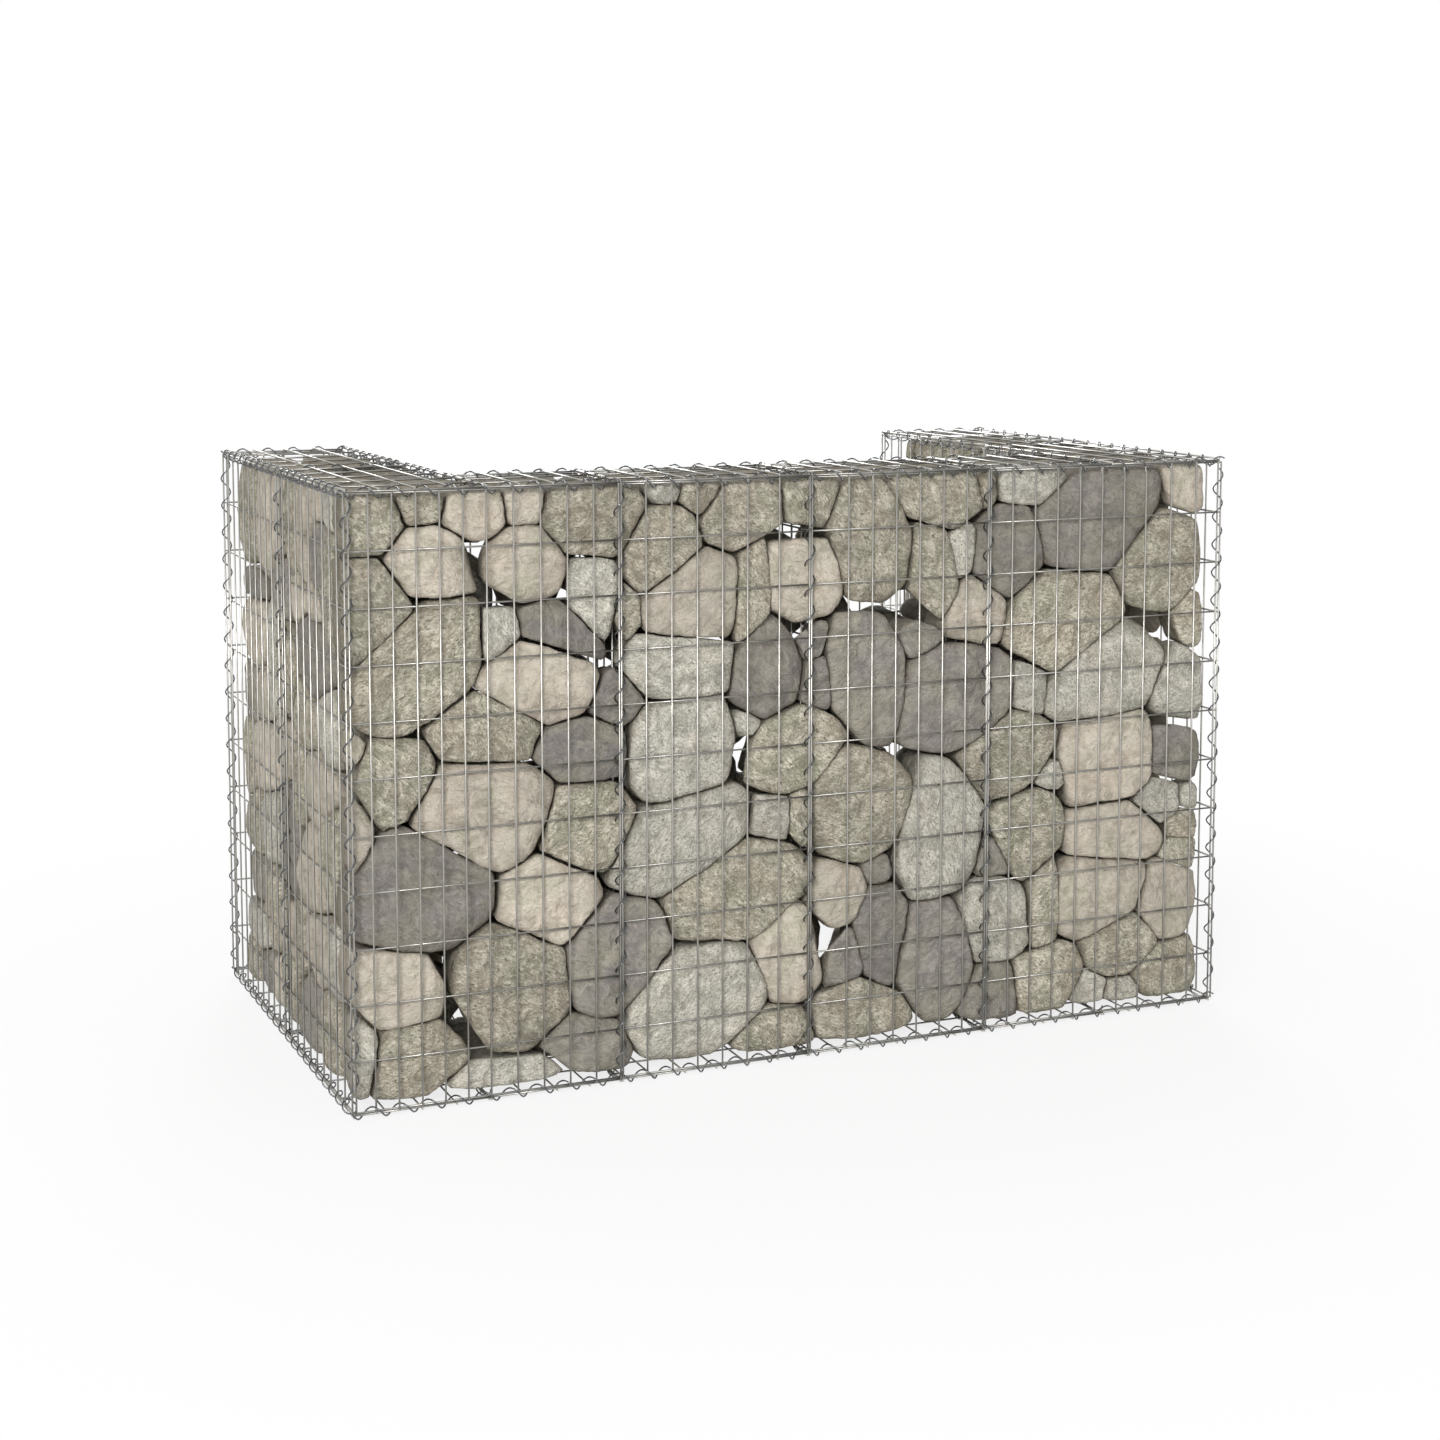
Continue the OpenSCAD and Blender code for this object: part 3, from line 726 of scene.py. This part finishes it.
def stone_at(face, along, up, width, height, tilt, kind, depth, sunk):
    """A stone with its flat side just behind a mesh, or sunk in further."""
    corner, run, out = FACES[face]
    centre = Vector((*corner, FOOT)) + run * along + Z * up - out * (STONE_IN + sunk + depth / 2)
    turn = math.radians(tilt)
    first = run * math.cos(turn) + Z * math.sin(turn)
    second = Z * math.cos(turn) - run * math.sin(turn)
    axes = np.array([first, second, out])
    stone = Stone(face, centre, axes, (width / 2, height / 2, depth), out, kind)
    stone.cut(out, depth / 2)
    stone.cut(-out, depth / 2)
    return stone


TAPER = math.radians(6)         # how far a stone's sides draw in towards its back
MEETING = 1.1                   # how far apart two stones may lie and still shape each other


def separate(a, b, joint):
    """Cuts two stones of a face that meet, by one plane between them that is nearly upright to the face."""
    gap = b.centre - a.centre
    gap = gap - a.out * (gap @ a.out)
    distance = np.linalg.norm(gap)
    way = gap / distance
    near_a, near_b = a.extent(way), b.extent(way)
    if distance > (near_a + near_b) * MEETING:
        return
    slope_a, slope_b = a.shape @ way, b.shape @ way
    normal = slope_a / np.linalg.norm(slope_a) + slope_b / np.linalg.norm(slope_b)
    normal /= np.linalg.norm(normal)
    step = normal @ way * distance / (near_a + near_b)
    for stone, side, share in ((a, normal, near_a), (b, -normal, near_b)):
        deep = stone.planes[0][1]
        stone.cut(side * math.cos(TAPER) - stone.out * math.sin(TAPER),
                  (step * share - joint / 2) * math.cos(TAPER) - deep * math.sin(TAPER))


def open_up(stone, point, way, width):
    """Keeps a stone clear of a gap that runs through the wall."""
    offset = point - stone.centre
    offset = offset - way * (offset @ way)
    distance = np.linalg.norm(offset)
    if distance - width / 2 < stone.extent(offset / distance):
        stone.cut(offset / distance, distance - width / 2)


# Rubble: the rows along the top and the foot, in millimetres and degrees, and then the sizes with their tries
ROW_WIDTHS = (80, 210)
ROW_FLATNESS = (0.5, 0.85)
ROW_LEAST_HEIGHT = 55 * MM
ROW_END = 30 * MM
ROW_TILT = 12
RUBBLE_TILT = 50
RUBBLE_FLATNESS = (0.55, 1.0)
RUBBLE_SIZES = ((230, 30), (185, 160), (145, 400), (105, 700), (72, 900), (48, 700))


def scatter(rng, start, end, height, kept_free):
    """Rubble over a rectangle: rows along its top and foot, then ever smaller stones where they fit."""
    placed = []

    def place(x, y, w, h, tilt):
        across = math.sqrt(w * h)
        if any(math.hypot(x - a, y - b) < 0.4 * across + c for a, b, c in kept_free):
            return
        if all(math.hypot(x - a, y - b) > 0.45 * (across + other) for a, b, *_, other in placed):
            placed.append((x, y, w, h, tilt, rng.random(), across))

    for top in (True, False):
        x = start
        while x < end - ROW_END:
            w = min(rng.uniform(*ROW_WIDTHS) * MM, end - x)
            h = max(w * rng.uniform(*ROW_FLATNESS), ROW_LEAST_HEIGHT)
            y = STONE_FOOT + (height - 0.46 * h if top else 0.48 * h)
            place(x + w / 2, y, w, h, rng.uniform(-ROW_TILT, ROW_TILT))
            x += w
    for size, tries in RUBBLE_SIZES:
        for _ in range(tries):
            across = size * MM * rng.uniform(0.85, 1.15)
            flat = rng.uniform(*RUBBLE_FLATNESS)
            w, h = across / math.sqrt(flat), across * math.sqrt(flat)
            x = rng.uniform(start + 0.4 * across, end - 0.45 * across)
            y = STONE_FOOT + rng.uniform(0.45 * h, height - 0.4 * h)
            place(x, y, w, h, rng.uniform(-RUBBLE_TILT, RUBBLE_TILT))
    return placed


def rubble_kind(draw, run_share):
    """Kinds come in drifts along a wall."""
    drift = 0.5 + 0.5 * math.sin(7.3 * run_share + 1.1)
    if draw < 0.20 + 0.12 * drift:
        return SLATE
    if draw < 0.55:
        return OLIVE
    return SPECKLED if draw < 0.72 else SANDY


GROWTH = 1.34                   # how far a stone reaches beyond its size to meet its neighbours
RUBBLE_GROWTH = 1.4
STONE_HEIGHT = STONE_TOP - FOOT - STONE_FOOT

WING_END = 900 * MM             # how far back the wings' stones reach
FRONT_DEPTH = 122 * MM          # how deep the front's stones reach
BACK_DEPTH = 112 * MM           # how deep the stones of the inner faces and of the sides reach
LEAST_DEPTH = 75 * MM
RUBBLE_LEAST_DEPTH = 70 * MM
SMALL = 190                     # a stone this wide and high together, in millimetres, sits deeper
ROOM_GAP = 2 * MM               # between the space of the front's stones and of those behind them
RIGHT_MARGIN = 18 * MM          # all stones stop this far inside the right side's

stones = []
rng = random.Random(41)
for face, listed in (("front", FRONT_STONES), ("left", LEFT_STONES)):
    for along, up, width, height, tilt, kind in listed:
        under_lid = (up + height / 2) * MM > STONE_HEIGHT
        depth = min(max(0.4 * (width + height) * MM, LEAST_DEPTH), FRONT_DEPTH - 4 * MM)
        if under_lid:
            depth = FRONT_DEPTH
        sunk = rng.uniform(1.5, 4.5)
        if width + height < SMALL or kind == SLATE:
            sunk += rng.uniform(1, 9)
        stones.append(stone_at(
            face, along * MM, up * MM, width * GROWTH * MM, height * GROWTH * MM, tilt, kind,
            min(depth, FRONT_DEPTH - sunk * MM), sunk * MM))

EYE = Vector((-1.94, -4.57, 1.49))      # near the camera, so that it looks through the gaps
gaps = []                       # each gap's point on the front, direction and width
free = []                       # where the gaps come out on the inner front
for u, w, width in SEE_THROUGH:
    point = Vector((LEFT + u * MM, FRONT, FOOT + w * MM))
    way = (point - EYE).normalized()
    gaps.append((np.array(point), np.array(way), width * MM))
    inside = point + way * ((WALL - BACK_DEPTH / 2) / way.y)
    free.append((inside.x - LEFT, inside.z - FOOT, 0.4 * width * MM))

# Each rubble face: where it starts and ends along its run, its depth and its seed
RUBBLE_FACES = {
    "inner_front": (FRONT_DEPTH, RIGHT - LEFT - FRONT_DEPTH, BACK_DEPTH, 5),
    "left_inner": (WALL + 8 * MM, WING_END, BACK_DEPTH, 17),
    "right": (FRONT_DEPTH + 8 * MM, WING_END, FRONT_DEPTH, 23),
    "right_inner": (WALL + 8 * MM, WING_END, BACK_DEPTH, 29),
}
for face, (start, end, depth, seed) in RUBBLE_FACES.items():
    draw = random.Random(seed)
    kept_free = free if face == "inner_front" else []
    for x, y, w, h, tilt, pick, across in scatter(draw, start, end, STONE_HEIGHT, kept_free):
        kind = rubble_kind(pick, (x - start) / (end - start))
        deep = depth - 5 * MM
        under_lid = y + h / 2 > STONE_HEIGHT
        if not under_lid:
            deep = min(deep, max(0.8 * across, RUBBLE_LEAST_DEPTH))
        stones.append(stone_at(
            face, x, y, w * RUBBLE_GROWTH, h * RUBBLE_GROWTH, tilt, kind, deep, draw.uniform(1.5, 5) * MM))

for i, a in enumerate(stones):
    for b in stones[i + 1:]:
        if a.face == b.face:
            separate(a, b, rng.uniform(-0.9, 1.0) * JOINT_GAP)
    if a.face in ("front", "inner_front"):
        for point, way, width in gaps:
            open_up(a, point, way, width if a.face == "front" else 0.75 * width)

# Where stones may be in the whole wall: its lowest and highest corner
STONE_LOW = np.array((LEFT + STONE_IN, FRONT + STONE_IN, FOOT + STONE_FOOT))
STONE_HIGH = np.array((RIGHT - STONE_IN - RIGHT_MARGIN, FRONT + WING_END, STONE_TOP))


def stone_room(face):
    """The lowest and highest corner of the space of a face's stones."""
    room_low, room_high = STONE_LOW.copy(), STONE_HIGH.copy()
    split = FRONT + STONE_IN + FRONT_DEPTH + ROOM_GAP
    if face == "front":
        room_high[1] = split
        return room_low, room_high
    room_low[1] = split
    if face == "inner_front":
        room_high[1] = INNER - STONE_IN
        room_low[0] += FRONT_DEPTH + ROOM_GAP
        room_high[0] -= FRONT_DEPTH + ROOM_GAP - RIGHT_MARGIN
        return room_low, room_high
    if face == "left":
        room_high[0] = LEFT + STONE_IN + FRONT_DEPTH
    elif face == "right":
        room_low[0] = RIGHT - STONE_IN - FRONT_DEPTH
    elif face == "left_inner":
        room_low[:2] = LEFT_INNER - STONE_IN - BACK_DEPTH, INNER + 4 * MM
        room_high[0] = LEFT_INNER - STONE_IN
    elif face == "right_inner":
        room_low[:2] = RIGHT_INNER + STONE_IN, INNER + 4 * MM
        room_high[0] = RIGHT_INNER + STONE_IN + BACK_DEPTH
    return room_low, room_high


POWER = 36                      # how sharp a stone's edges are
ROUNDNESS = 3.2                 # 2 is an ellipsoid, and more is squarer
BALLS = {level: sphere_points(level) for level in (3, 4, 5)}
LARGE, MIDDLING = 104 * MM, 44 * MM     # half sizes from which a stone has finer triangles
FORWARD = 0.35                  # how much closer the points lie at the front
ROOM_LEAST = 4 * MM             # how near a stone's middle the end of its room may come
TOUCHING = 0.94                 # how near a stone has to come to the end of its room to be worn there
WORN_SIDES = 4                  # worn corners on each side that touches the end of the room
WORN_LEAN = 0.3
WORN_DEPTH = (1, 8)             # millimetres

# Chips: how far they lean to the front, their least and greatest depth as shares of the stone, and how many
CHIPS = ((2.6, 0.02, 0.15, 6), (1.1, 0.01, 0.065, 9), (0.1, 0.0, 0.05, 4))
CHIPPED_SIZE = 90 * MM          # larger stones aren't chipped deeper than stones of this size
SWELL_PITCH = 1.9               # swellings to the stone's size
SWELL = 0.045                   # their height, as a share of that size
ROUGH_PITCH = 14 * MM
ROUGH = 1.8 * MM
MOST_SHADE_AND_DIRT = 0.3                 # painted shade and dirt on a stone's rim, and as much again deep behind the mesh
RIM_START, RIM_WIDTH = 0.84, 0.18       # where a rim's painted shade and dirt starts and over how much of the stone it grows
DEEP_START, DEEP_WIDTH = 6 * MM, 30 * MM        # the same for the depth behind a stone's flat side


def stone_points(stone, level, rng):
    """The stone's surface: the ellipsoid cut by its planes and some chips, with a rough skin, and the painted
    shade and dirt of its points.
    """
    ball, faces = BALLS[level]
    ways = ball + FORWARD * stone.out
    ways /= np.linalg.norm(ways, axis=1)[:, None]

    def reach(ways, planes):
        body = (np.abs(ways @ stone.axes.T) / stone.half) ** ROUNDNESS
        total = body.sum(axis=1) ** (POWER / ROUNDNESS)
        for normal, distance in planes:
            total = total + (np.maximum(ways @ normal, 0) / distance) ** POWER
        return total ** (-1 / POWER)

    planes = list(stone.planes)
    room_low, room_high = stone_room(stone.face)
    for k in range(3):
        side = np.zeros(3)
        side[k] = 1
        planes.append((side, max(room_high[k] - stone.centre[k], ROOM_LEAST)))
        planes.append((-side, max(stone.centre[k] - room_low[k], ROOM_LEAST)))
    points = ways * reach(ways, planes)[:, None]
    size = stone.half[:2].mean() / GROWTH
    for side, distance in planes[-6:]:
        if (points @ side).max() > TOUCHING * distance:
            for _ in range(WORN_SIDES):
                worn = side + np.array([rng.uniform(-WORN_LEAN, WORN_LEAN) for _ in range(3)])
                worn /= np.linalg.norm(worn)
                planes.append((worn, (points @ worn).max() - rng.uniform(*WORN_DEPTH) * MM))
    for lean, least, most, count in CHIPS:
        for _ in range(count):
            angle = rng.uniform(0, 2 * math.pi)
            chip = math.cos(angle) * stone.axes[0] + math.sin(angle) * stone.axes[1] + lean * stone.out
            chip /= np.linalg.norm(chip)
            furthest = (points @ chip).max()
            planes.append((chip, furthest - min(size, CHIPPED_SIZE) * rng.uniform(least, most)))
    points = ways * reach(ways, planes)[:, None]
    shift = Vector([rng.uniform(-9, 9) for _ in range(3)])
    swell = np.array([noise.noise(Vector(p / size * SWELL_PITCH) + shift) for p in points])
    rough = np.array([noise.noise(Vector(p / ROUGH_PITCH) + shift) for p in points])
    points += ways * (swell * size * SWELL + rough * ROUGH)[:, None]
    # Painted shade and dirt: darker towards the stone's rim and deeper behind its flat side
    rim = (np.abs(points @ stone.axes[:2].T) / stone.half[:2]).max(axis=1)
    for normal, distance in planes:
        if abs(normal @ stone.out) < 0.5:
            rim = np.maximum(rim, points @ normal / distance)
    shade_and_dirt = MOST_SHADE_AND_DIRT * np.clip((rim - RIM_START) / RIM_WIDTH, 0, 1) ** 1.5
    depth = stone.planes[0][1] - points @ stone.out
    shade_and_dirt += np.clip((depth - DEEP_START) / DEEP_WIDTH, 0, MOST_SHADE_AND_DIRT)
    return np.clip(points + stone.centre, room_low, room_high), faces, shade_and_dirt


def bay_of(stone):
    """The bay that a stone's middle lies in."""
    x, y = stone.centre[:2]
    if x < JOINTS[0]:
        return 1 if y > WING_JOINT and x < LEFT_INNER else 2
    if x > JOINTS[2]:
        return 6 if y > WING_JOINT and x > RIGHT_INNER else 5
    return 3 if x < JOINTS[1] else 4


GRAIN_LEAN = 0.6                # radians
TONES = (-0.13, 0.12)           # how much darker or paler a stone may be than its kind


def stone_piece(bay):
    """The stones of one bay, as one piece."""
    rng = random.Random(100 + bay)
    verts, faces, kinds, places, tones, shades_and_soils = [], [], [], [], [], []
    for stone in stones:
        if bay_of(stone) != bay:
            continue
        large = max(stone.half[:2])
        level = 4 if large > MIDDLING else 3
        if large > LARGE and stone.face == "front":
            level = 5
        points, triangles, shade_and_dirt = stone_points(stone, level, rng)
        base = len(verts)
        verts.extend(map(tuple, points))
        faces.extend(tuple(base + k for k in t) for t in triangles)
        kinds += [KIND_NAMES.index(stone.kind)] * len(triangles)
        lean = rng.uniform(-GRAIN_LEAN, GRAIN_LEAN)
        first = stone.axes[0] * math.cos(lean) + stone.axes[1] * math.sin(lean)
        second = stone.axes[1] * math.cos(lean) - stone.axes[0] * math.sin(lean)
        shift = np.array([rng.uniform(-5, 5) for _ in range(3)])
        places.append((points - stone.centre) @ np.array([first, second, stone.axes[2]]).T + shift)
        tones += [rng.uniform(*TONES)] * len(points)
        # the painted shade and dirt of each point
        shades_and_soils.append(shade_and_dirt)
    piece = new_piece(f"stones_{bay}", verts, faces, STONE_KINDS.values(), [True] * len(faces))
    piece.data.polygons.foreach_set("material_index", kinds)
    set_attribute(piece.data, "grain_place", "FLOAT_VECTOR", np.concatenate(places))
    set_attribute(piece.data, "stone_tone", "FLOAT", tones)
    set_attribute(piece.data, "stone_shade_and_soil", "FLOAT", np.concatenate(shades_and_soils))
    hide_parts(f"stone_fill_{bay}")


for bay in range(1, 7):
    stone_piece(bay)

# ---- floor, light and camera ----


def seen_white(tree):
    """1 for the rays that see a white background: the camera's own, and those off metal and through glass."""
    path = add(tree, "LightPath")
    seen = maths(tree, "MAXIMUM", path.outputs["Is Camera Ray"], path.outputs["Is Glossy Ray"])
    return maths(tree, "MAXIMUM", seen, path.outputs["Is Transmission Ray"])


def studio():
    """A pale floor that turns white away from the wall, and a white world that lights it softly."""
    mesh = bpy.data.meshes.new("floor")
    reach = 30
    mesh.from_pydata([(-reach, -reach, 0), (reach, -reach, 0), (reach, reach, 0), (-reach, reach, 0)], [],
                     [(0, 1, 2, 3)])
    floor = bpy.data.objects.new("floor", mesh)
    bpy.context.scene.collection.objects.link(floor)
    material, tree, shader = new_material("pale_floor")
    shader.inputs["Base Color"].default_value = (0.86, 0.86, 0.86, 1)
    shader.inputs["Roughness"].default_value = 0.9
    shader.inputs["Specular IOR Level"].default_value = 0.1
    white = add(tree, "Emission", {"Color": (1, 1, 1, 1), "Strength": 1.0})
    place = add(tree, "TexCoord").outputs["Object"]
    far = vector_maths(tree, "LENGTH", place).outputs["Value"]
    fade = spread(tree, far, 1.0, 2.2, 0.8, 1.0)        # by metres from the wall's middle
    amount = times(tree, fade, seen_white(tree))
    mixed = add(tree, "MixShader", {0: amount, 1: shader.outputs[0], 2: white.outputs[0]})
    output = next(n for n in tree.nodes if n.type == "OUTPUT_MATERIAL")
    tree.links.new(mixed.outputs[0], output.inputs[0])
    mesh.materials.append(material)

    world = bpy.data.worlds.new("studio")
    bpy.context.scene.world = world
    world.use_nodes = True
    tree = world.node_tree
    tree.nodes.clear()
    sky = add(tree, "Background", {"Color": (1, 1, 1, 1), "Strength": 0.5})
    white = add(tree, "Background", {"Color": (1, 1, 1, 1), "Strength": 1.0})
    mixed = add(tree, "MixShader", {0: seen_white(tree), 1: sky.outputs[0], 2: white.outputs[0]})
    output = tree.nodes.new("ShaderNodeOutputWorld")
    tree.links.new(mixed.outputs[0], output.inputs[0])


def soft_lamp(name, place, target, size, watts):
    """A round lamp of the given width that faces the target."""
    lamp = bpy.data.lights.new(name, "AREA")
    lamp.shape = "DISK"
    lamp.size = size
    lamp.energy = watts
    holder = bpy.data.objects.new(name, lamp)
    holder.location = place
    holder.rotation_euler = (Vector(target) - Vector(place)).to_track_quat("-Z", "Y").to_euler()
    bpy.context.scene.collection.objects.link(holder)


studio()
soft_lamp("key_light", (-7.2, -9.9, 5.4), (0, 0, 0.5), 7.0, 1290)
soft_lamp("glint_light", (-6.6, -8.6, 6.4), (0, 0, 0.5), 1.2, 210)
soft_lamp("back_light", (2.4, 8.0, 3.0), (0, 0, 0.7), 4.0, 420)

camera = bpy.data.cameras.new("camera")
camera.lens = 61.18
camera.sensor_width = 36
camera.shift_y = -0.14
holder = bpy.data.objects.new("camera", camera)
holder.location = (-1.9364, -4.5680, 1.4865)
holder.rotation_euler = (math.radians(90 - 5.83), 0, math.radians(-23.162))
bpy.context.scene.collection.objects.link(holder)
bpy.context.scene.camera = holder

bpy.context.scene.view_settings.view_transform = "Standard"
